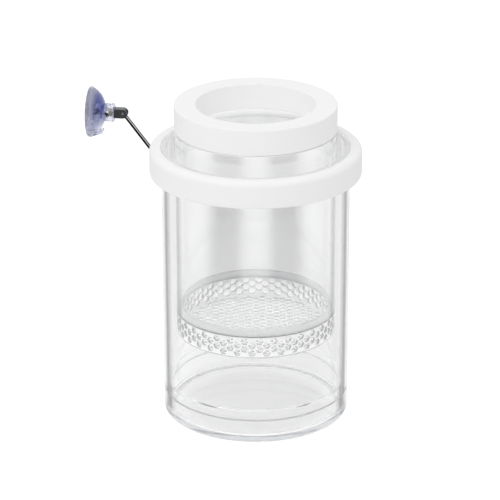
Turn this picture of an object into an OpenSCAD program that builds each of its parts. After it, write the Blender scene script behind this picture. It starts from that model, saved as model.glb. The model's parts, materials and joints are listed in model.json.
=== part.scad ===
// Floating breeding box for an aquarium: a clear tube inside a clear tube, each carried by a foam ring.
// The inner tube ends in a honeycomb basket, the outer tube in a dish that catches the eggs.
// A hinged arm with a suction cup tethers the outer ring to the glass.
// The origin is the centre of the dish's underside, +Z is up, and all lengths are millimetres.

/* [Outer tube] */
// Outside diameter of the outer tube
outer_tube_d = 100; // [90:1:130]
// Wall of the outer tube
outer_tube_wall = 2.6; // [1:0.1:3.2]
// Length of the outer tube
outer_tube_h = 137; // [125:1:200]
// Rounding of the cut and polished rims of both tubes
tube_rim_r = 0.3; // [0.1:0.05:0.4]

/* [Outer float] */
// Radial thickness of the outer foam ring
outer_float_thick = 6.1; // [5:0.1:12]
// Height of the outer foam ring
outer_float_h = 14.5; // [13:0.5:25]
// How far the foam stands above the tube's rim
outer_float_proud = 0.5; // [0:0.1:2]
// Rounding of the foam's upper outside edge
outer_float_round = 3; // [1:0.1:4]
// Rounding of the foam's other edges
outer_float_edge = 0.8; // [0.3:0.1:1.2]

/* [Egg tray] */
// Height of the tray below the tube
tray_h = 12.5; // [9:0.5:25]
// Height of the collar that plugs into the tube
tray_collar_h = 5.5; // [3:0.5:12]
// Wall of the collar
tray_collar_wall = 1.3; // [1:0.1:3]
// Thickness of the tray's floor
tray_floor = 2; // [1.2:0.1:3.5]
// Rounding of the outside bottom edge
tray_edge_r = 1.6; // [1:0.1:4]
// Cove between the floor and the wall inside
tray_cove_r = 3; // [1:0.1:5]

/* [Inner tube] */
// Water gap between the two tubes
water_gap = 4.4; // [3.5:0.1:12]
// Wall of the inner tube
inner_tube_wall = 1.9; // [1:0.1:2.4]
// Length of the inner tube
inner_tube_h = 101; // [80:1:160]
// Free height between the tray's collar and the raised basket
hatching_gap = 28; // [25:0.5:45]

/* [Inner float] */
// Radial width of the inner foam ring
inner_float_w = 11.5; // [6:0.5:18]
// Height of the inner foam ring
inner_float_h = 14; // [8:0.5:25]
// Rounding of the inner ring's edges
inner_float_edge = 0.6; // [0.2:0.1:1.5]

/* [Basket] */
// Height of the basket below the tube
basket_h = 12.3; // [10:0.1:20]
// Step from the tube's outside in to the basket's wall
basket_inset = 0.5; // [0.2:0.1:0.8]
// Height of the collar that plugs into the tube
basket_collar_h = 4.5; // [2:0.5:8]
// Wall of the collar
basket_collar_wall = 0.85; // [0.7:0.05:1.5]
// Thickness of the honeycomb floor
basket_floor = 1; // [0.8:0.1:2]
// Rounding of the basket's bottom edge
basket_edge_r = 0.6; // [0.2:0.1:1]
// Distance between the centres of neighbouring cells
mesh_pitch = 4.4; // [4:0.1:6]
// Rib between two cells
mesh_rib = 0.9; // [0.7:0.1:1.4]
// Solid band at the foot of the mesh wall and round the floor
mesh_band = 1.5; // [1:0.1:2.5]
// Thickness of the honeycomb wall
mesh_wall = 1.2; // [1:0.1:1.6]

/* [Suction cup] */
// Diameter of the cup's lip
cup_d = 27; // [22:0.5:40]
// Depth of the cup from the lip to the root of its neck
cup_depth = 8.1; // [6.5:0.1:12]
// Depth of the hollow behind the lip
cup_hollow = 4.4; // [3:0.1:4.8]
// Width of the flat sealing face of the lip
cup_seal_w = 0.8; // [0.4:0.1:1.5]
// Diameter of the neck
neck_d = 9.8; // [8.6:0.1:12]
// Length of the neck
neck_l = 5.3; // [5:0.1:9]
// Diameter of the cross hole through the neck
cross_hole_d = 3; // [2:0.1:3.8]
// Width of the pull tab
tab_w = 6; // [4:0.5:10]

/* [Arm] */
// Direction in which the bracket stands on the ring, seen from above
bracket_azimuth = 157.5; // [150:0.5:170]
// Direction in which the arm reaches, seen from above
arm_azimuth = 172; // [160:1:175]
// Distance between the arm's two hinge pins
arm_l = 27; // [20:0.5:45]
// Slope of the arm above the horizontal
arm_slope = 53; // [40:1:60]
// Diameter of the rod
rod_d = 2; // [1.4:0.1:2.2]
// Diameter of the eyes at the rod's ends
eye_d = 3.3; // [3:0.1:3.6]
// Diameter of the hinge pins
pin_d = 1.2; // [0.8:0.1:1.4]
// Height of the arm's lower hinge above the ring's underside
bracket_rise = 2.1; // [2.1:0.1:6]
// Thickness of each ear of the bracket
bracket_ear_t = 1; // [0.8:0.1:1.6]
// Height of the bracket's saddle pad
pad_h = 4; // [3.8:0.1:4.2]
// Height of the arm's head
head_h = 5; // [4.8:0.1:7.5]
// Width of the arm's head across its two ears
head_w = 4.2; // [4.1:0.1:7]
// Length of the head from the hinge to its shoulder
head_l = 4.8; // [3.6:0.1:8]
// Diameter of the stem in the cup's neck
stem_d = 4.4; // [3.6:0.1:4.8]
// Diameter of the barb at the stem's end
barb_d = 5.8; // [5.4:0.1:6.2]

/* [Fits] */
// Radial clearance of a collar in its tube
plug_fit = 0.15; // [0.05:0.05:0.3]
// Radial clearance of the foam round its tube
foam_fit = 0.1; // [0.05:0.05:0.3]
// Radial clearance of a hinge pin in the rod's eye
pin_play = 0.05; // [0.02:0.01:0.1]
// Side clearance of the rod in a clevis
slot_play = 0.15; // [0.1:0.05:0.3]
// Clearance of the stem in the neck, and of the cup's neck against the head
stem_play = 0.08; // [0.05:0.01:0.1]

/* [Hidden] */
$fn = 96;
cut = 0.5;              // how far a cutting shape runs past the surface that it cuts

clear_plastic = [0.9, 0.94, 0.96, 0.35];
mesh_plastic = [0.93, 0.95, 0.96, 0.7];
white_foam = [0.97, 0.97, 0.97];
black_plastic = [0.08, 0.08, 0.09];
dark_steel = [0.25, 0.25, 0.27];
pin_steel = [0.6, 0.6, 0.62];
violet_pvc = [0.55, 0.58, 0.82, 0.7];

outer_bore = outer_tube_d - 2 * outer_tube_wall;
outer_tube_top = tray_h + outer_tube_h;
outer_float_id = outer_tube_d + 2 * foam_fit;
outer_float_od = outer_float_id + 2 * outer_float_thick;
outer_float_z = outer_tube_top + outer_float_proud - outer_float_h;

tray_collar_od = outer_bore - 2 * plug_fit;
tray_id = tray_collar_od - 2 * tray_collar_wall;
tray_top = tray_h + tray_collar_h;
lead_in = 0.5;          // bevel at the mouth of a plugged collar

inner_tube_d = outer_bore - 2 * water_gap;
inner_bore = inner_tube_d - 2 * inner_tube_wall;
basket_z = tray_top + hatching_gap;
inner_tube_z = basket_z + basket_h;
inner_float_z = inner_tube_z + inner_tube_h;

basket_od = inner_tube_d - 2 * basket_inset;
basket_collar_od = inner_bore - 2 * plug_fit;
basket_id = basket_collar_od - 2 * basket_collar_wall;
mesh_id = max(basket_id, basket_od - 2 * mesh_wall);
mesh_top = 0.6;         // solid band at the head of the mesh wall, and the ledge from there in to the collar
cell_flats = mesh_pitch - mesh_rib;
cell_r = cell_flats / sqrt(3);
column_step = mesh_pitch * sqrt(3) / 2;
wall_columns = 2 * round(PI * basket_od / column_step / 2);
wall_rows = floor((basket_h - mesh_band - mesh_top + mesh_rib) / mesh_pitch - 0.5);
floor_mesh_r = mesh_id / 2 - mesh_band;
floor_columns = ceil(floor_mesh_r / column_step);
floor_rows = ceil(floor_mesh_r / mesh_pitch);

slot_w = rod_d + 2 * slot_play;
eye_gap = 0.2;          // end clearance between a rod's eye and the floor of its clevis
pin_hold = 0.02;        // radial clearance of a riveted pin in its ears
rivet_d = pin_d + 0.4;
rivet_h = 0.3;
bracket_w = slot_w + 2 * bracket_ear_t;
bracket_ear_r = eye_d / 2 + 0.2;
bracket_back = 1.2;    // thickness of the pad behind the slot, at its thinnest
bracket_reach = eye_d / 2 + eye_gap + bracket_back;
bracket_r = outer_float_od / 2 + bracket_reach;
arm_z = outer_float_z + bracket_rise;
pad_w = bracket_w + 1.2;
pad_corner = 1;
pad_sink = 1.5;         // how far the blank of the pad runs back before the ring's curve is cut
peg_d = 2.2;
peg_barb_d = 3;
peg_barb_h = 1.7;
peg_skin = 1.6;         // foam left between the peg's tip and the tube
peg_tip = bracket_reach + outer_float_thick - peg_skin;
peg_play = 0.05;

neck_end = cup_depth + neck_l;
head_to_lip = head_l + stem_play + neck_end;
socket_floor = cup_depth + 0.2;
barb_h = 1.9;
barb_edge = 0.5;        // straight side of the barb
barb_tip_d = 3.2;
cross_hole_z = cup_depth + cross_hole_d / 2 + 0.15;
bead = 0.25;            // how far the bead at the neck's mouth stands proud
bead_h = 1.3;
bead_bevel = 0.3;
lip_t = 0.9;
lip_bevel = 0.2;
hollow_sag = 1.1;       // bulge of the hollow and of the back, measured from a straight cone
back_sag = 1.3;
tab_t = 1.8;            // thickness of the pull tab at its root
tab_rise = 7.2;         // how far the tab stands back from the lip's plane

// Points on the arc from p to q that bulges by sag, towards larger x and y
function arc(p, q, sag, n = 16) =
    let (chord = norm(q - p),
         along = (q - p) / chord,
         side = [abs(along[1]), abs(along[0])],
         r = (chord * chord / 4 + sag * sag) / (2 * sag))
    [for (i = [0:n])
        let (t = chord * (i / n - 0.5))
        (p + q) / 2 + along * t + side * (sqrt(r * r - t * t) - r + sag)];

// What a rounding of radius r takes off the outer corner of a shape that lies in -x and -y
module corner_waste(r) {
    difference() {
        translate([-r, -r]) square(r + cut);
        translate([-r, -r]) circle(r);
    }
}

// Revolved ring with a rounding of its own on the upper outside edge
module rounded_ring(id, od, h, edge, top_edge) {
    rotate_extrude() difference() {
        translate([id / 2, 0]) square([(od - id) / 2, h]);
        translate([od / 2, h]) corner_waste(top_edge);
        translate([id / 2, h]) mirror([1, 0]) corner_waste(edge);
        translate([od / 2, 0]) mirror([0, 1]) corner_waste(edge);
        translate([id / 2, 0]) rotate(180) corner_waste(edge);
    }
}

// Outline of a solid plug-in base: foot, shoulder and bevelled collar, revolved later
module plug_outline(foot_d, foot_h, collar_d, collar_h, edge) {
    difference() {
        union() {
            square([foot_d / 2, foot_h]);
            square([collar_d / 2, foot_h + collar_h]);
        }
        translate([foot_d / 2, 0]) mirror([0, 1]) corner_waste(edge);
        translate([collar_d / 2, foot_h + collar_h]) rotate(45) square(lead_in * sqrt(2), center = true);
    }
}

// The arm's frame: origin on the lower hinge, +X the way that the arm reaches, Y along the hinge pins
module at_arm() {
    translate([bracket_r * cos(bracket_azimuth), bracket_r * sin(bracket_azimuth), arm_z])
        rotate(arm_azimuth)
            children();
}

// The head's frame: the same axes, with its origin on the upper hinge
module at_head() {
    at_arm() translate([arm_l * cos(arm_slope), 0, arm_l * sin(arm_slope)]) children();
}

// The cup's own frame: +Z runs from the middle of the lip to the neck, +X up
module at_cup() {
    at_head() translate([head_to_lip, 0, 0]) rotate([0, -90, 0]) children();
}

// A riveted hinge pin along Y, for ears that are w wide over all
module hinge_pin(w) {
    rotate([90, 0, 0]) {
        cylinder(d = pin_d, h = w, center = true);
        for (end = [0, 1]) mirror([0, 0, end]) translate([0, 0, w / 2]) rivet_head();
    }
}

module rivet_head() {
    cylinder(d1 = rivet_d, d2 = rivet_d * 0.7, h = rivet_h);
}

// A straight hole along Y through both ears of a clevis
module pin_hole(w) {
    rotate([90, 0, 0]) cylinder(d = pin_d + 2 * pin_hold, h = w + 2 * cut, center = true);
}

module egg_tray() {
    color(clear_plastic) rotate_extrude() difference() {
        plug_outline(outer_tube_d, tray_h, tray_collar_od, tray_collar_h, tray_edge_r);
        tray_hollow();
    }
}

// Inside of the tray: straight wall, cove and flat floor
module tray_hollow() {
    translate([0, tray_floor + tray_cove_r]) square([tray_id / 2, tray_top]);
    translate([0, tray_floor]) square([tray_id / 2 - tray_cove_r, tray_top]);
    translate([tray_id / 2 - tray_cove_r, tray_floor + tray_cove_r]) circle(tray_cove_r);
}

module outer_tube() {
    color(clear_plastic)
        translate([0, 0, tray_h])
            rounded_ring(outer_bore, outer_tube_d, outer_tube_h, tube_rim_r, tube_rim_r);
}

module outer_float() {
    color(white_foam) difference() {
        translate([0, 0, outer_float_z])
            rounded_ring(outer_float_id, outer_float_od, outer_float_h, outer_float_edge, outer_float_round);
        at_arm() bracket_peg(peg_play);
    }
}

module inner_tube() {
    color(clear_plastic)
        translate([0, 0, inner_tube_z])
            rounded_ring(inner_bore, inner_tube_d, inner_tube_h, tube_rim_r, tube_rim_r);
}

module inner_float() {
    color(white_foam)
        translate([0, 0, inner_float_z])
            rounded_ring(inner_tube_d - 2 * inner_float_w, inner_tube_d, inner_float_h,
                         inner_float_edge, inner_float_edge);
}

module basket() {
    color(mesh_plastic) translate([0, 0, basket_z]) {
        difference() {
            rotate_extrude() difference() {
                plug_outline(basket_od, basket_h, basket_collar_od, basket_collar_h, basket_edge_r);
                translate([0, -cut]) square([basket_id / 2, basket_h + basket_collar_h + 2 * cut]);
                translate([0, -cut]) square([mesh_id / 2, basket_h - mesh_top + cut]);
            }
            wall_cells();
        }
        mesh_floor();
    }
}

// Staggered columns of cells that run straight out through the basket's wall
module wall_cells() {
    depth = (basket_od - mesh_id) / 2 + 2 * cut;
    for (column = [0:wall_columns - 1], row = [0:wall_rows - 1]) {
        z = mesh_band + cell_flats / 2 + (row + (column % 2) / 2) * mesh_pitch;
        rotate(column * 360 / wall_columns)
            translate([mesh_id / 2 - cut, 0, z])
                rotate([0, 90, 0]) linear_extrude(depth) cell();
    }
}

// Flat-topped cell; its x axis stands upright once it is turned into the wall
module cell() {
    rotate(30) circle(cell_r, $fn = 6);
}

// Honeycomb plate, with the cells at its rim cut to the circle
module mesh_floor() {
    linear_extrude(basket_floor) difference() {
        circle(d = mesh_id + cut);
        intersection() {
            circle(floor_mesh_r);
            floor_cells();
        }
    }
}

module floor_cells() {
    for (column = [-floor_columns:floor_columns], row = [-floor_rows:floor_rows]) {
        x = column * column_step;
        y = (row + (abs(column) % 2) / 2) * mesh_pitch;
        if (norm([x, y]) < floor_mesh_r - mesh_rib / 2)
            translate([x, y]) rotate(30) cell();
    }
}

module float_bracket() {
    color(black_plastic) {
        difference() {
            at_arm() bracket_blank();
            ring_room();
            at_arm() bracket_slot();
            at_arm() pin_hole(bracket_w);
        }
        at_arm() bracket_peg(0);
    }
}

// Room that the foam ring takes up, with the play that the pad keeps from it
module ring_room() {
    translate([0, 0, outer_float_z]) cylinder(d = outer_float_od + 2 * peg_play, h = outer_float_h);
}

// Saddle pad with two ears, before the ring's curve and the rod's slot are cut
module bracket_blank() {
    translate([-bracket_reach - pad_sink, 0, 0])
        rotate([0, 90, 0])
            linear_extrude(bracket_back + pad_sink)
                rounded_square(pad_h, pad_w, pad_corner);
    translate([-bracket_reach - cut, -bracket_w / 2, -bracket_ear_r])
        cube([bracket_reach + cut, bracket_w, 2 * bracket_ear_r]);
    rotate([90, 0, 0]) cylinder(r = bracket_ear_r, h = bracket_w, center = true);
}

module bracket_slot() {
    translate([-eye_d / 2 - eye_gap, -slot_w / 2, -pad_h])
        cube([eye_d + 2 * eye_gap + bracket_ear_r, slot_w, 2 * pad_h]);
}

// Barbed peg that is pushed into the foam, with play all round for its pocket
module bracket_peg(play) {
    barb = peg_barb_d / 2 + play;
    shank = peg_d / 2 + play;
    tip = peg_tip + play;
    shoulder = peg_tip - peg_barb_h - play;
    rotate([0, -90, 0]) rotate_extrude()
        polygon([[0, bracket_reach - 1], [shank, bracket_reach - 1], [shank, shoulder],
                 [barb, shoulder], [shank * 0.7, tip], [0, tip]]);
}

// A square on its centre with round corners, made of exact arcs
module rounded_square(x, y, r) {
    square([x - 2 * r, y], center = true);
    square([x, y - 2 * r], center = true);
    for (i = [-1, 1], j = [-1, 1]) translate([i * (x / 2 - r), j * (y / 2 - r)]) circle(r);
}

module bracket_pin() {
    color(pin_steel) at_arm() hinge_pin(bracket_w);
}

module arm_rod() {
    color(dark_steel) at_arm() rotate([0, -arm_slope, 0]) difference() {
        union() {
            translate([eye_d / 4, 0, 0]) rotate([0, 90, 0]) cylinder(d = rod_d, h = arm_l - eye_d / 2);
            for (x = [0, arm_l])
                translate([x, 0, 0]) rotate([90, 0, 0]) cylinder(d = eye_d, h = rod_d, center = true);
        }
        for (x = [0, arm_l])
            translate([x, 0, 0]) rotate([90, 0, 0])
                cylinder(d = pin_d + 2 * pin_play, h = rod_d + 2 * cut, center = true);
    }
}

module arm_head() {
    color(black_plastic) at_head() {
        difference() {
            union() {
                rotate([90, 0, 0]) cylinder(d = head_h, h = head_w, center = true);
                translate([0, -head_w / 2, -head_h / 2]) cube([head_l, head_w, head_h]);
            }
            head_slot();
            pin_hole(head_w);
        }
        stem();
    }
}

// Slot for the rod, open below and at the end and roofed above, so that the arm folds down only
module head_slot() {
    reach = eye_d / 2 + eye_gap;
    translate([-head_h, -slot_w / 2, -head_h]) cube([head_h + reach, slot_w, head_h + reach]);
}

// Stem with a mushroom barb that turns in the cup's neck
module stem() {
    tip = neck_end - socket_floor;
    translate([head_l, 0, 0]) rotate([0, 90, 0]) rotate_extrude()
        polygon([[0, -cut], [stem_d / 2, -cut], [stem_d / 2, tip - barb_h], [barb_d / 2, tip - barb_h],
                 [barb_d / 2, tip - barb_h + barb_edge], [barb_tip_d / 2, tip], [0, tip]]);
}

module head_pin() {
    color(pin_steel) at_head() hinge_pin(head_w);
}

module suction_cup() {
    color(violet_pvc) at_cup() {
        difference() {
            rotate_extrude() cup_outline();
            socket();
            translate([0, 0, cross_hole_z]) rotate([90, 0, 0])
                cylinder(d = cross_hole_d, h = neck_d + 2 * cut, center = true);
        }
        pull_tab();
    }
}

// Half section of the cup: thin dished lip, rising to the neck with a bead at its mouth
module cup_outline() {
    lip_r = cup_d / 2;
    neck_r = neck_d / 2;
    bead_r = neck_r + bead;
    polygon(concat(
        arc([lip_r - cup_seal_w - lip_bevel, 0], [0, cup_hollow], hollow_sag),
        [[0, neck_end], [bead_r - bead_bevel, neck_end], [bead_r, neck_end - bead_bevel],
         [bead_r, neck_end - bead_h], [neck_r, neck_end - bead_h - bead]],
        arc([neck_r, cup_depth], [lip_r, lip_t], back_sag),
        [[lip_r, lip_bevel], [lip_r - lip_bevel, 0]]));
}

// Blind socket for the stem and its barb
module socket() {
    tip = socket_floor;
    bore = stem_d / 2 + stem_play;
    barb = barb_d / 2 + stem_play;
    shoulder = tip + barb_h + 2 * stem_play;
    rotate_extrude()
        polygon([[0, neck_end + cut], [bore, neck_end + cut], [bore, shoulder], [barb, shoulder],
                 [barb, tip + barb_h - barb_edge], [barb_tip_d / 2 + stem_play, tip], [0, tip]]);
}

// Tongue at the foot of the lip, for peeling the cup off the glass
module pull_tab() {
    root = cup_d / 2 - tab_t;
    rotate([90, 0, 180]) linear_extrude(tab_w, center = true)
        polygon([[root, lip_t + 0.9], [root + tab_t / 2, 0.15], [root + tab_t, 0.5],
                 [root - 0.6, tab_rise], [root - 1.6, tab_rise]]);
}

egg_tray();
outer_tube();
outer_float();
inner_tube();
inner_float();
basket();
float_bracket();
bracket_pin();
arm_rod();
arm_head();
head_pin();
suction_cup();
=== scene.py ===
"""Floating breeding box: clear tubes on foam rings, a honeycomb basket, an egg tray and a suction cup arm."""

import json
import math

import bpy
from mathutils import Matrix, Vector


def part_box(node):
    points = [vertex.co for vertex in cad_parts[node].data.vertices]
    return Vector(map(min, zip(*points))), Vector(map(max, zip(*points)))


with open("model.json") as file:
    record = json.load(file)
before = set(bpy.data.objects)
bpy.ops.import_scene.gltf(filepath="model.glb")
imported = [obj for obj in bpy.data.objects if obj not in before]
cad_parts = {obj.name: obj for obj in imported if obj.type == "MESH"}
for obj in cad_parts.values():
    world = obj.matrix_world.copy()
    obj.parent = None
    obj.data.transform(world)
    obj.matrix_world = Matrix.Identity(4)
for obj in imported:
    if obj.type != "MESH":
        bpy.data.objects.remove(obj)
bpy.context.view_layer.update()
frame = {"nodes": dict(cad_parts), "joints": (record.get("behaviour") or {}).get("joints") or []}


# Tubes and egg tray
# Both tubes are clear polystyrene, drawn as pipe and sawn to length, with fine lines left along them.
# The tray is moulded of the same plastic and plugs into the outer tube from below, held by its collar.

CLEAR_TINT = (0.93, 0.935, 0.94, 1)
CLEAR_DENSITY = 50.0         # absorption for each metre of plastic
CLEAR_IOR = 1.62
POLISH = (0.0, 0.03)         # roughness, from the smoothest to the roughest
DIE_LINES = 700              # for each metre round the tube
DIE_STRETCH = (1, 1, 0.015)  # the drawn lines are long along the tube
DIE_DEPTH = 0.000008
MOULD_FLOW = 55
MOULD_STRETCH = (1, 1, 0.6)
MOULD_DEPTH = 0.00004
UPPER_END = (0.1, 0.3)       # height of the normal, from the bore's side to the sawn upper end
LOWER_END = (-0.99, -0.9)    # the same, from the sawn lower end to the side
SAWN_CLARITY = 0.35
SAWN_ROUGHNESS = 0.4
WALL_ROUGHNESS = 0.01
SAWN_END_PAINTED_GLOW = 0.035            # painted glow on the lower end, which would look black where it stands flat on the tray


def new_material(name):
    """A material with nothing but its Principled shader and its output."""
    made = bpy.data.materials.new(name)
    made.use_nodes = True
    return made, made.node_tree, made.node_tree.nodes["Principled BSDF"]


def xyz_of(tree, coordinate):
    """The three parts of one of the Texture Coordinate node's outputs."""
    place = tree.nodes.new("ShaderNodeTexCoord")
    apart = tree.nodes.new("ShaderNodeSeparateXYZ")
    tree.links.new(place.outputs[coordinate], apart.inputs["Vector"])
    return [apart.outputs[axis] for axis in "XYZ"]


def noise_on(tree, scale, detail=2.0, stretch=(1, 1, 1)):
    """The height of a noise on object coordinates, stretched by a Mapping node."""
    place = tree.nodes.new("ShaderNodeTexCoord")
    turn = tree.nodes.new("ShaderNodeMapping")
    turn.inputs["Scale"].default_value = stretch
    noise = tree.nodes.new("ShaderNodeTexNoise")
    noise.inputs["Scale"].default_value = scale
    noise.inputs["Detail"].default_value = detail
    tree.links.new(place.outputs["Object"], turn.inputs["Vector"])
    tree.links.new(turn.outputs["Vector"], noise.inputs["Vector"])
    return noise.outputs["Fac"]


def math_node(tree, operation, first, second):
    """A Math node on two values, each a socket or a number."""
    made = tree.nodes.new("ShaderNodeMath")
    made.operation = operation
    for i, value in enumerate((first, second)):
        if isinstance(value, (int, float)):
            made.inputs[i].default_value = value
        else:
            tree.links.new(value, made.inputs[i])
    return made.outputs[0]


def spread(tree, value, low, high, start=0.0, end=1.0):
    """A value from start to end brought to between low and high."""
    scale = tree.nodes.new("ShaderNodeMapRange")
    scale.inputs["From Min"].default_value = start
    scale.inputs["From Max"].default_value = end
    scale.inputs["To Min"].default_value = low
    scale.inputs["To Max"].default_value = high
    tree.links.new(value, scale.inputs["Value"])
    return scale.outputs["Result"]


def bump_by(tree, shader, height, depth):
    """Raises the surface by depth metres where the height is 1."""
    bump = tree.nodes.new("ShaderNodeBump")
    bump.inputs["Strength"].default_value = 1
    bump.inputs["Distance"].default_value = depth
    tree.links.new(height, bump.inputs["Height"])
    tree.links.new(bump.outputs["Normal"], shader.inputs["Normal"])


def absorbing(tree, tint, density):
    """Darkens what is seen through the solid by the length of the way through it."""
    volume = tree.nodes.new("ShaderNodeVolumeAbsorption")
    volume.inputs["Color"].default_value = tint
    volume.inputs["Density"].default_value = density
    tree.links.new(volume.outputs["Volume"], tree.nodes["Material Output"].inputs["Volume"])


def dress(node, material):
    """Gives a CAD node its material in every slot."""
    slots = frame["nodes"][node].data.materials
    slots.clear()
    slots.append(material)


def sawn_ends(tree, shader):
    """The sawn upper end scatters the light, milky and rough, and the lower end has a faint painted glow."""
    up = xyz_of(tree, "Normal")[2]
    tree.links.new(spread(tree, up, 1, SAWN_CLARITY, *UPPER_END), shader.inputs["Transmission Weight"])
    tree.links.new(spread(tree, up, WALL_ROUGHNESS, SAWN_ROUGHNESS, *UPPER_END), shader.inputs["Roughness"])
    # painted glow: a faint emission on the sawn lower end
    shader.inputs["Emission Color"].default_value = (1, 1, 1, 1)
    tree.links.new(spread(tree, up, SAWN_END_PAINTED_GLOW, 0, *LOWER_END), shader.inputs["Emission Strength"])


def clear_plastic(name, waves, stretch, depth):
    """Polished clear plastic, with its making left in it as faint waves."""
    made, tree, shader = new_material(name)
    shader.inputs["Base Color"].default_value = (1, 1, 1, 1)
    shader.inputs["Transmission Weight"].default_value = 1
    shader.inputs["IOR"].default_value = CLEAR_IOR
    height = noise_on(tree, waves, stretch=stretch)
    tree.links.new(spread(tree, height, *POLISH), shader.inputs["Roughness"])
    bump_by(tree, shader, height, depth)
    absorbing(tree, CLEAR_TINT, CLEAR_DENSITY)
    return made


def drawn_plastic():
    made = clear_plastic("drawn_clear_plastic", DIE_LINES, DIE_STRETCH, DIE_DEPTH)
    sawn_ends(made.node_tree, made.node_tree.nodes["Principled BSDF"])
    return made


drawn = drawn_plastic()
moulded = clear_plastic("moulded_clear_plastic", MOULD_FLOW, MOULD_STRETCH, MOULD_DEPTH)
for tube in ("outer_tube", "inner_tube"):
    dress(tube, drawn)
dress("egg_tray", moulded)


# Foam rings
# The floats are cut from white closed-cell foam: one is pushed over the outer tube, one bonded on the inner.
# Their skin is matt, with the fine grain of the cells and a slight unevenness from the hot knife.

FOAM_WHITE = (0.94, 0.94, 0.94)
FOAM_WORN = (0.9259, 0.9259, 0.9259)
FOAM_PATCHES = 45
FOAM_ROUGHNESS = (0.62, 0.75)
FOAM_SHEEN = 0.3
FOAM_CELL = 0.0007
FOAM_GRAIN_DEPTH = 0.00004


def mixed(tree, factor, first, second):
    """A colour between two others, each a socket or a value."""
    mix = tree.nodes.new("ShaderNodeMix")
    mix.data_type = "RGBA"
    for end, colour in (("A", first), ("B", second)):
        if isinstance(colour, tuple):
            mix.inputs[end].default_value = (*colour, 1)
        else:
            tree.links.new(colour, mix.inputs[end])
    tree.links.new(factor, mix.inputs["Factor"])
    return mix.outputs["Result"]


def foam():
    made, tree, shader = new_material("white_closed_cell_foam")
    cells = tree.nodes.new("ShaderNodeTexVoronoi")
    cells.inputs["Scale"].default_value = 1 / FOAM_CELL
    place = tree.nodes.new("ShaderNodeTexCoord")
    tree.links.new(place.outputs["Object"], cells.inputs["Vector"])
    cloud = noise_on(tree, FOAM_PATCHES, detail=3.0)
    tree.links.new(mixed(tree, cloud, FOAM_WHITE, FOAM_WORN), shader.inputs["Base Color"])
    tree.links.new(spread(tree, cloud, *FOAM_ROUGHNESS), shader.inputs["Roughness"])
    shader.inputs["Specular IOR Level"].default_value = FOAM_SHEEN
    bump_by(tree, shader, cells.outputs["Distance"], FOAM_GRAIN_DEPTH)
    return made


white_foam = foam()
for ring in ("outer_float", "inner_float"):
    dress(ring, white_foam)


# Honeycomb basket
# A milky clear moulding: honeycomb floor and wall, and a plain collar that plugs into the inner tube.
# The ribs' broad faces scatter the light and look white; the sides of the cells carry painted shade, grey in
# the wall, and the collar is clearer.

RIB_WHITE = (0.99, 0.99, 0.99)
RIB_CLARITY = 0.15
# painted shade on the sides of the cells in the wall
CELL_PAINTED_SHADE = (0.60, 0.605, 0.61)
CELL_CLARITY = 0.4
PLAIN_GREY = (0.86, 0.865, 0.87)     # of the collar, and painted shade on the sides of the cells in the floor
PLAIN_CLEARER = 0.2          # how much clearer collar and floor are than the wall
BROAD = (0.6, 0.85)          # how squarely a face looks out of its sheet, from a cell's side to a rib's face
BASKET_IOR = 1.49
BASKET_FLOW = 160
BASKET_ROUGHNESS = (0.06, 0.16)
BASKET_RELIEF = 0.00005
FLOOR_THICKNESS = 0.001
COLLAR_HEIGHT = 0.0045
ABOVE_FLOOR = 0.00002        # how far over its own top the floor's zone reaches
UNDER_COLLAR = 0.0002        # how far under its own foot the collar's zone reaches

basket_low, basket_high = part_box("basket")
floor_end = basket_low[2] + FLOOR_THICKNESS + ABOVE_FLOOR
collar_start = basket_high[2] - COLLAR_HEIGHT - UNDER_COLLAR


def broad_faces(tree, in_floor, below_collar):
    """1 on the faces that look up or down in the floor and in or out in the wall, and 0 in the cells, whose
    sides take painted shade.
    """
    x, y, _ = xyz_of(tree, "Object")
    out_x, out_y, up = xyz_of(tree, "Normal")
    along_x, along_y = math_node(tree, "MULTIPLY", x, out_x), math_node(tree, "MULTIPLY", y, out_y)
    outward = math_node(tree, "ADD", along_x, along_y)
    square = math_node(tree, "ADD", math_node(tree, "POWER", x, 2), math_node(tree, "POWER", y, 2))
    radial = math_node(tree, "DIVIDE", outward, math_node(tree, "SQRT", square, 0))
    wall = spread(tree, math_node(tree, "ABSOLUTE", radial, 0), 0, 1, *BROAD)
    flat = spread(tree, math_node(tree, "ABSOLUTE", up, 0), 0, 1, *BROAD)
    wall = math_node(tree, "MULTIPLY", wall, math_node(tree, "SUBTRACT", 1, in_floor))
    wall = math_node(tree, "MULTIPLY", wall, below_collar)
    return math_node(tree, "MAXIMUM", wall, math_node(tree, "MULTIPLY", flat, in_floor))


def milky():
    made, tree, shader = new_material("milky_moulded_plastic")
    height = xyz_of(tree, "Object")[2]
    in_floor = math_node(tree, "LESS_THAN", height, floor_end)
    below_collar = math_node(tree, "LESS_THAN", height, collar_start)
    plain = math_node(tree, "SUBTRACT", 1, math_node(tree, "SUBTRACT", below_collar, in_floor))
    white = broad_faces(tree, in_floor, below_collar)
    # the sides of the cells take painted shade
    grey = mixed(tree, plain, CELL_PAINTED_SHADE, PLAIN_GREY)
    tree.links.new(mixed(tree, white, grey, RIB_WHITE), shader.inputs["Base Color"])
    clearer = math_node(tree, "MULTIPLY", plain, PLAIN_CLEARER)
    clarity = math_node(tree, "ADD", spread(tree, white, CELL_CLARITY, RIB_CLARITY), clearer)
    tree.links.new(clarity, shader.inputs["Transmission Weight"])
    shader.inputs["IOR"].default_value = BASKET_IOR
    flow = noise_on(tree, BASKET_FLOW)
    tree.links.new(spread(tree, flow, *BASKET_ROUGHNESS), shader.inputs["Roughness"])
    bump_by(tree, shader, flow, BASKET_RELIEF)
    return made


dress("basket", milky())


# Bracket and head
# Small black mouldings: the barbed bracket in the outer ring, and the head that ends in the cup's stem.
# The mould leaves them glossy, with a slight orange peel; the faces that look up toward the lamp carry a
# painted highlight.

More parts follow.
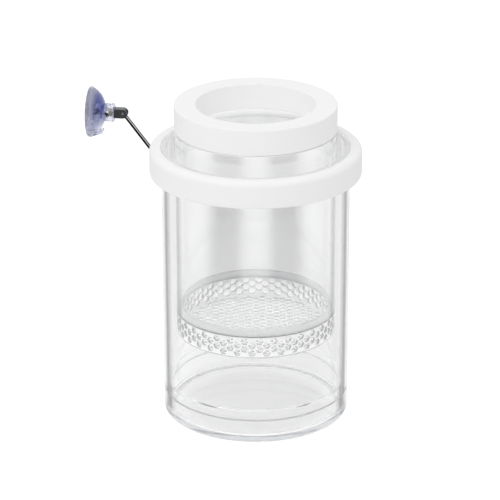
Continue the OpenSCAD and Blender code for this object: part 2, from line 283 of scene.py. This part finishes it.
BLACK = (0.012, 0.012, 0.014)
BLACK_PAINTED_HIGHLIGHT = (0.11, 0.11, 0.115)      # painted highlight on the faces that look up to the lamp
BLACK_HIGHLIGHT_FROM = Vector((-0.2, -0.3, 0.93))
BLACK_HIGHLIGHT_REACH = 0.4
PEEL = 900
PEEL_ROUGHNESS = (0.22, 0.34)
PEEL_DEPTH = 0.00002


def turned_away(tree, from_where):
    """0 where the piece faces a direction of its own, 1 where it stands square to it, and up to 2 behind."""
    place = tree.nodes.new("ShaderNodeTexCoord")
    toward = tree.nodes.new("ShaderNodeVectorMath")
    toward.operation = "DOT_PRODUCT"
    toward.inputs[1].default_value = from_where.normalized()
    tree.links.new(place.outputs["Normal"], toward.inputs[0])
    return math_node(tree, "SUBTRACT", 1, toward.outputs["Value"])


def black_plastic():
    made, tree, shader = new_material("black_moulded_plastic")
    # painted highlight: lighter colour on the faces turned up toward the lamp
    turned = spread(tree, turned_away(tree, BLACK_HIGHLIGHT_FROM), 0, 1, 0.0, BLACK_HIGHLIGHT_REACH)
    tree.links.new(mixed(tree, turned, BLACK_PAINTED_HIGHLIGHT, BLACK), shader.inputs["Base Color"])
    peel = noise_on(tree, PEEL)
    tree.links.new(spread(tree, peel, *PEEL_ROUGHNESS), shader.inputs["Roughness"])
    bump_by(tree, shader, peel, PEEL_DEPTH)
    return made


moulded_black = black_plastic()
for moulding in ("float_bracket", "arm_head"):
    dress(moulding, moulded_black)


# Rod and pins
# The rod is steel wire with flattened eyes and a dark polished coat; the pins are bright steel, riveted over.
# Both show fine lines of drawing along them, and each carries a painted highlight: a narrow bright line on
# one side, dark beside it.

ROD_DARK = (0.004, 0.004, 0.005)
# painted highlight: the bright line along the rod
ROD_PAINTED_HIGHLIGHT = (0.95, 0.95, 0.97)
ROD_EDGE = (0.1, 0.1, 0.1)           # what the coat throws back at a grazing angle
ROD_HIGHLIGHT_SIDE = Vector((0.36, -0.84, 0.35))    # the side of the rod that holds the painted highlight line
ROD_LINES = 1500
ROD_ROUGHNESS = (0.1, 0.3)
# the pins' colour beside their painted highlight line
PIN_DARK = (0.2, 0.2, 0.21)
# the pins' steel colour at their edges, also used for their painted highlight line
PIN_STEEL_AND_HIGHLIGHT = (0.72, 0.72, 0.74)
PIN_HIGHLIGHT_SIDE = Vector((0, -0.92, 0.39))
PIN_LINES = 2500
PIN_ROUGHNESS = (0.0833, 0.25)
# how wide the painted highlight line is
STEEL_HIGHLIGHT_REACH = 0.03
LINE_DEPTH = 0.00001


def steel(name, dark, bright, edge, highlight_side):
    """Polished steel with a painted highlight: a narrow bright line where it faces a direction of its own,
    dark beside it.
    """
    made, tree, shader = new_material(name)
    # painted highlight: bright where the steel faces the given side
    turned = spread(tree, turned_away(tree, highlight_side), 0, 1, 0.0, STEEL_HIGHLIGHT_REACH)
    tree.links.new(mixed(tree, turned, bright, dark), shader.inputs["Base Color"])
    shader.inputs["Metallic"].default_value = 1
    shader.inputs["Specular Tint"].default_value = (*edge, 1)
    return made


def draw_lines(material, lines, roughness):
    """Leaves the fine marks of drawing on a steel."""
    tree = material.node_tree
    shader = tree.nodes["Principled BSDF"]
    fine = noise_on(tree, lines)
    tree.links.new(spread(tree, fine, *roughness), shader.inputs["Roughness"])
    bump_by(tree, shader, fine, LINE_DEPTH)


coated = steel("dark_coated_steel", ROD_DARK, ROD_PAINTED_HIGHLIGHT, ROD_EDGE, ROD_HIGHLIGHT_SIDE)
draw_lines(coated, ROD_LINES, ROD_ROUGHNESS)
dress("arm_rod", coated)
bright = steel("bright_pin_steel", PIN_DARK, PIN_STEEL_AND_HIGHLIGHT, PIN_STEEL_AND_HIGHLIGHT, PIN_HIGHLIGHT_SIDE)
draw_lines(bright, PIN_LINES, PIN_ROUGHNESS)
for pin in ("bracket_pin", "head_pin"):
    dress(pin, bright)


# Suction cup
# Soft violet PVC, see-through in its thin lip, pressed on to the barbed stem of the head.
# It is moulded glossy. Its colour gathers at the root of the dome. A painted reflection makes it deeper on
# the upper side, away from the pull tab, and paler on the lower side.

CUP_TINT = (0.50, 0.54, 0.78, 1)
CUP_DENSITY = 42.0
CUP_CLARITY = 0.93
CUP_IOR = 1.53
CUP_FLOW = 240
CUP_ROUGHNESS = (0.04, 0.12)
CUP_RELIEF = 0.00005
CUP_COLOURS = (              # by the distance from the hinge along the axis
    (0.0080, (0.95, 0.95, 0.96)),    # the neck
    (0.0098, (0.03, 0.045, 0.30)),   # the root of the dome
    (0.0130, (0.09, 0.11, 0.38)),    # the dome
    (0.0160, (0.62, 0.62, 0.58)),    # the lip
)
# painted reflection: the paler colour of the cup's lower side
CUP_PAINTED_PALE = (0.94, 0.94, 0.97)
CUP_REFLECTION_SHARE = (0.25, 1)     # how much of the colour shows, from the lower side by the pull tab to the upper side, as a painted reflection
CUP_REFLECTION_HEIGHTS = (-0.008, 0.003)   # where that painted reflection changes, in height from the axis

spin = next(joint for joint in frame["joints"] if joint["name"] == "cup_spin")
cup_hinge = Vector(spin["pos_m"])
cup_axis = Vector(spin["axis"])


def cup_colour(tree):
    """The colour along the cup's axis, with a painted reflection: paler on the lower side, by the pull tab,
    and deeper above.
    """
    place = tree.nodes.new("ShaderNodeTexCoord")
    along = tree.nodes.new("ShaderNodeVectorMath")
    along.operation = "DOT_PRODUCT"
    along.inputs[1].default_value = cup_axis
    tree.links.new(place.outputs["Object"], along.inputs[0])
    distance = math_node(tree, "SUBTRACT", along.outputs["Value"], cup_hinge.dot(cup_axis))
    start, end = CUP_COLOURS[0][0], CUP_COLOURS[-1][0]
    ramp = tree.nodes.new("ShaderNodeValToRGB")
    while len(ramp.color_ramp.elements) < len(CUP_COLOURS):
        ramp.color_ramp.elements.new(0.5)
    for element, (where, colour) in zip(ramp.color_ramp.elements, CUP_COLOURS):
        element.position = (where - start) / (end - start)
        element.color = (*colour, 1)
    tree.links.new(spread(tree, distance, 0, 1, start, end), ramp.inputs["Fac"])
    above = math_node(tree, "SUBTRACT", xyz_of(tree, "Object")[2], cup_hinge.z)
    # painted reflection: deeper colour on the upper side, paler below
    painted_reflection = spread(tree, above, *CUP_REFLECTION_SHARE, *CUP_REFLECTION_HEIGHTS)
    return mixed(tree, painted_reflection, CUP_PAINTED_PALE, ramp.outputs["Color"])


def pvc():
    made, tree, shader = new_material("violet_soft_pvc")
    tree.links.new(cup_colour(tree), shader.inputs["Base Color"])
    shader.inputs["Transmission Weight"].default_value = CUP_CLARITY
    shader.inputs["IOR"].default_value = CUP_IOR
    flow = noise_on(tree, CUP_FLOW)
    tree.links.new(spread(tree, flow, *CUP_ROUGHNESS), shader.inputs["Roughness"])
    bump_by(tree, shader, flow, CUP_RELIEF)
    absorbing(tree, CUP_TINT, CUP_DENSITY)
    return made


dress("suction_cup", pvc())


# Floor, light and camera
# A pale floor, with a painted shadow under the box, in an even white room, with one large soft lamp above and
# in front.
# To the camera, and in gloss and clear plastic, the floor and the room show white.

FLOOR_HALF = 3.0
FLOOR_GAP = 0.00005          # air between the floor and the tray's polished foot
FLOOR_COLOUR = (0.86, 0.86, 0.86)
FLOOR_PAINTED_SHADOW = (0.80, 0.80, 0.80)     # painted shadow: its colour under the box, darker to keep the clear tray grey
PAINTED_SHADOW_REACH = (0.034, 0.047)         # distances from the axis between which it changes
FLOOR_LIFT = 0.1             # of the floor's light, as clear and glossy things show it
FLOOR_LIFT_SEEN = 0.22       # added to it for the camera
ROOM_LIGHT = 0.8
FRONT_FLAG = (0.55, 0.2, 0.28)       # squared cosine of its direction, half its width, and its blur
FRONT_HEIGHT = (-0.366, 0.02, 0.014)  # the same for its height, as the sine of the angle above the horizon
BACK_FLAG = (-0.62, 0.1, 0.17)
BACK_HEIGHT = (-0.38, 0.1, 0.06)
BACK_FLAG_DARK = 0.4
OFF_ZERO = 0.0001            # keeps a division off zero straight above and below
LAMP_POWER = 8.0
LAMP_SIZE = 1.4
LAMP_PLACE = Vector((-0.5, -0.9, 1.7))
AIM = Vector((0, 0, 0.0902))
CAMERA_DISTANCE = 1.375
CAMERA_ELEVATION = math.radians(22.39)
CAMERA_LENS = 184.75
IMAGE_SIDE = 500
AXIS_PIXEL = 255.7           # the picture's column on which the tubes' axis stands
BOUNCES = 64
MATT_BOUNCES = 6


def seen(tree):
    """1 for what the camera, gloss or clear plastic looks at, and 0 for what only lights the object."""
    path = tree.nodes.new("ShaderNodeLightPath")
    either = math_node(tree, "MAXIMUM", path.outputs["Is Camera Ray"], path.outputs["Is Glossy Ray"])
    return math_node(tree, "MAXIMUM", either, path.outputs["Is Transmission Ray"])


def reflected(tree):
    """1 for a line of sight that clear plastic has thrown back and that has met nothing matt, else 0."""
    path = tree.nodes.new("ShaderNodeLightPath")
    back = math_node(tree, "GREATER_THAN", path.outputs["Glossy Depth"], 0.5)
    clean = math_node(tree, "LESS_THAN", path.outputs["Diffuse Depth"], 0.5)
    return math_node(tree, "MULTIPLY", back, clean)


def floor_material():
    """Matt, with a painted shadow under the box, lifted to white for what looks at it, and not there for what
    clear plastic has thrown back.
    """
    made = bpy.data.materials.new("pale_floor")
    made.use_nodes = True
    tree = made.node_tree
    tree.nodes.remove(tree.nodes["Principled BSDF"])
    matt = tree.nodes.new("ShaderNodeBsdfDiffuse")
    lift = tree.nodes.new("ShaderNodeEmission")
    both = tree.nodes.new("ShaderNodeAddShader")
    place = tree.nodes.new("ShaderNodeTexCoord")
    reach = tree.nodes.new("ShaderNodeVectorMath")
    reach.operation = "LENGTH"
    tree.links.new(place.outputs["Object"], reach.inputs[0])
    clear_of_box = spread(tree, reach.outputs["Value"], 0, 1, *PAINTED_SHADOW_REACH)
    # painted shadow: the floor's colour is darker under the box
    tree.links.new(mixed(tree, clear_of_box, FLOOR_PAINTED_SHADOW, FLOOR_COLOUR), matt.inputs["Color"])
    path = tree.nodes.new("ShaderNodeLightPath")
    direct = spread(tree, path.outputs["Is Camera Ray"], 0, FLOOR_LIFT_SEEN)
    # the lift for gloss and clear plastic is left off in the painted shadow under the box
    shown = math_node(tree, "MULTIPLY", seen(tree), math_node(tree, "MULTIPLY", clear_of_box, FLOOR_LIFT))
    tree.links.new(math_node(tree, "ADD", direct, shown), lift.inputs["Strength"])
    tree.links.new(matt.outputs["BSDF"], both.inputs[0])
    tree.links.new(lift.outputs["Emission"], both.inputs[1])
    below = tree.nodes.new("ShaderNodeBsdfTransparent")
    either = tree.nodes.new("ShaderNodeMixShader")
    tree.links.new(reflected(tree), either.inputs[0])
    tree.links.new(both.outputs["Shader"], either.inputs[1])
    tree.links.new(below.outputs["BSDF"], either.inputs[2])
    tree.links.new(either.outputs["Shader"], tree.nodes["Material Output"].inputs["Surface"])
    return made


def floor():
    h, z = FLOOR_HALF, -FLOOR_GAP
    mesh = bpy.data.meshes.new("floor")
    mesh.from_pydata([(-h, -h, z), (h, -h, z), (h, h, z), (-h, h, z)], [], [(0, 1, 2, 3)])
    mesh.materials.append(floor_material())
    made = bpy.data.objects.new("floor", mesh)
    bpy.context.scene.collection.objects.link(made)


def past(tree, value, centre, half, blur):
    """0 where a value lies within half of the centre, rising softly to 1 over the blur outside that."""
    edge = tree.nodes.new("ShaderNodeMapRange")
    edge.interpolation_type = "SMOOTHSTEP"
    edge.inputs["From Min"].default_value = half
    edge.inputs["From Max"].default_value = half + blur
    off = math_node(tree, "ABSOLUTE", math_node(tree, "SUBTRACT", value, centre), 0)
    tree.links.new(off, edge.inputs["Value"])
    return edge.outputs["Result"]


def flags(tree):
    """How bright the studio is in each direction: white, with soft dark flags in front and behind."""
    x, y, height = xyz_of(tree, "Generated")
    x2 = math_node(tree, "POWER", x, 2)
    y2 = math_node(tree, "POWER", y, 2)
    level = math_node(tree, "ADD", math_node(tree, "ADD", x2, y2), OFF_ZERO)
    side = math_node(tree, "MULTIPLY", math_node(tree, "SIGN", y, 0), -1)
    facing = math_node(tree, "MULTIPLY", math_node(tree, "DIVIDE", y2, level), side)
    front = math_node(tree, "MAXIMUM", past(tree, facing, *FRONT_FLAG), past(tree, height, *FRONT_HEIGHT))
    back = math_node(tree, "MAXIMUM", past(tree, facing, *BACK_FLAG), past(tree, height, *BACK_HEIGHT))
    return math_node(tree, "MULTIPLY", front, spread(tree, back, BACK_FLAG_DARK, 1))


def room():
    world = bpy.data.worlds.new("room")
    bpy.context.scene.world = world
    world.use_nodes = True
    tree = world.node_tree
    background = tree.nodes["Background"]
    background.inputs["Color"].default_value = (1, 1, 1, 1)
    plain = spread(tree, seen(tree), ROOM_LIGHT, 1)
    either = tree.nodes.new("ShaderNodeMix")
    tree.links.new(reflected(tree), either.inputs["Factor"])
    tree.links.new(plain, either.inputs["A"])
    tree.links.new(flags(tree), either.inputs["B"])
    tree.links.new(either.outputs["Result"], background.inputs["Strength"])


def lamp(place, size, power):
    data = bpy.data.lights.new("soft_lamp", "AREA")
    data.size = size
    data.energy = power
    made = bpy.data.objects.new("soft_lamp", data)
    made.location = place
    made.rotation_euler = (AIM - place).to_track_quat("-Z", "Y").to_euler()
    bpy.context.scene.collection.objects.link(made)


def camera():
    data = bpy.data.cameras.new("camera")
    data.lens = CAMERA_LENS
    data.shift_x = (IMAGE_SIDE / 2 - AXIS_PIXEL) / IMAGE_SIDE
    made = bpy.data.objects.new("camera", data)
    away = Vector((0, -math.cos(CAMERA_ELEVATION), math.sin(CAMERA_ELEVATION)))
    made.location = AIM + CAMERA_DISTANCE * away
    made.rotation_euler = (math.pi / 2 - CAMERA_ELEVATION, 0, 0)
    bpy.context.scene.collection.objects.link(made)
    bpy.context.scene.camera = made


floor()
room()
lamp(LAMP_PLACE, LAMP_SIZE, LAMP_POWER)
camera()
scene = bpy.context.scene
scene.view_settings.view_transform = "Standard"
scene.cycles.max_bounces = BOUNCES
scene.cycles.transmission_bounces = BOUNCES
scene.cycles.glossy_bounces = BOUNCES
scene.cycles.diffuse_bounces = MATT_BOUNCES
scene.cycles.blur_glossy = 0
scene.cycles.use_denoising = True
